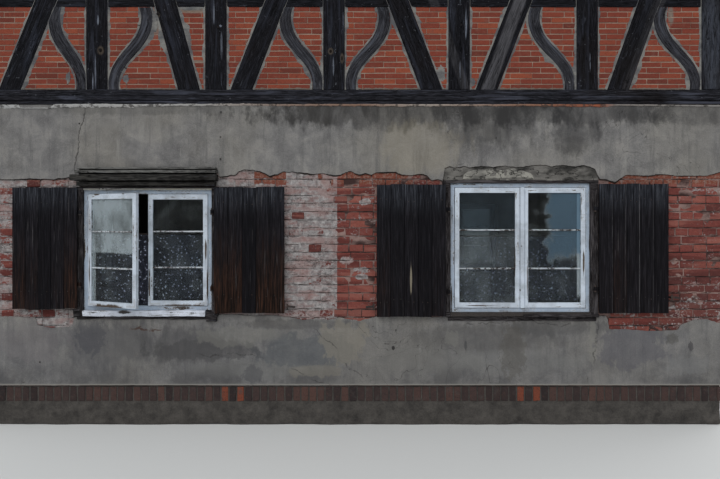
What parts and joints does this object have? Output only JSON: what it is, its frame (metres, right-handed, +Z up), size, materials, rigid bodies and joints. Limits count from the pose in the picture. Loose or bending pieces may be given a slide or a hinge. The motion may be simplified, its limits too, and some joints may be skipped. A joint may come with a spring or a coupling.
{
  "type": "half timbered house",
  "caption": "Two storey house with a plastered brick ground storey, a timber frame with curved braces and brick infill, a saddle roof and hinged plank shutters.",
  "frame": {"origin": "the centre of the house's box at ground level", "axes": "+Z up, +X to the right seen from the street, the street front faces -Y"},
  "size_m": [7.581, 6.45, 9.224],
  "materials": {
    "foundation": "matte",
    "brick_wall": "matte",
    "plaster": "matte",
    "infill_brick": "matte",
    "chimney_brick": "matte",
    "roof_tiles": "matte",
    "old_timber": "matte",
    "inner_timber": "matte",
    "shutter_boards": "matte",
    "door_boards": "matte",
    "window_paint": "satin",
    "window_glass": "gloss",
    "net": "matte",
    "iron": "matte"
  },
  "bodies": {
    "house": {"back_door": "door_boards", "back_door_frame": "old_timber", "back_infill": "infill_brick", "back_roof_slope": "roof_tiles", "back_step": "foundation", "back_wall": "plaster", "barge_boards": "old_timber", "chimney": "chimney_brick", "curtain_rods": "iron", "curved_braces": "old_timber", "eaves_plates": "old_timber", "floor_boards": "inner_timber", "floor_joists": "inner_timber", "front_infill": "infill_brick", "front_plaster": "plaster", "front_roof_slope": "roof_tiles", "front_wall_left": "brick_wall", "front_wall_right": "brick_wall", "front_window_frames": "window_paint", "front_window_glass": "window_glass", "front_window_sills": "window_paint", "gable_infill": "infill_brick", "gable_panels": "infill_brick", "gable_sill_beams": "old_timber", "gable_trusses": "old_timber", "gable_walls": "plaster", "left_window_curtain": "net", "left_window_hood": "old_timber", "left_window_sashes": "window_paint", "long_sill_beams": "old_timber", "plain_window_frames": "window_paint", "plain_window_glass": "window_glass", "plain_window_sashes": "window_paint", "plain_window_sills": "old_timber", "plinth": "foundation", "posts": "old_timber", "rafters": "inner_timber", "rails": "old_timber", "ridge_tiles": "roof_tiles", "right_window_curtain": "net", "right_window_sashes": "window_paint", "shutter_irons": "iron", "straight_braces": "old_timber", "tie_beams": "old_timber", "window_casings": "old_timber"},
    "left_window_left_shutter": {"left_window_left_shutter": "shutter_boards"},
    "left_window_right_shutter": {"left_window_right_shutter": "shutter_boards"},
    "right_window_left_shutter": {"right_window_left_shutter": "shutter_boards"},
    "right_window_right_shutter": {"right_window_right_shutter": "shutter_boards"}
  },
  "joints": [
    {"name": "left_window_left_shutter_hinge", "type": "hinge", "parent": "house", "child": "left_window_left_shutter", "pos_m": [-2.5265, -2.846, 0], "axis": [0, 0, 1], "range_deg": [0, 150]},
    {"name": "left_window_right_shutter_hinge", "type": "hinge", "parent": "house", "child": "left_window_right_shutter", "pos_m": [-1.286, -2.846, 0], "axis": [0, 0, -1], "range_deg": [0, 155]},
    {"name": "right_window_left_shutter_hinge", "type": "hinge", "parent": "house", "child": "right_window_left_shutter", "pos_m": [0.9565, -2.846, 0], "axis": [0, 0, 1], "range_deg": [0, 180]},
    {"name": "right_window_right_shutter_hinge", "type": "hinge", "parent": "house", "child": "right_window_right_shutter", "pos_m": [2.3325, -2.846, 0], "axis": [0, 0, -1], "range_deg": [0, 180]}
  ]
}
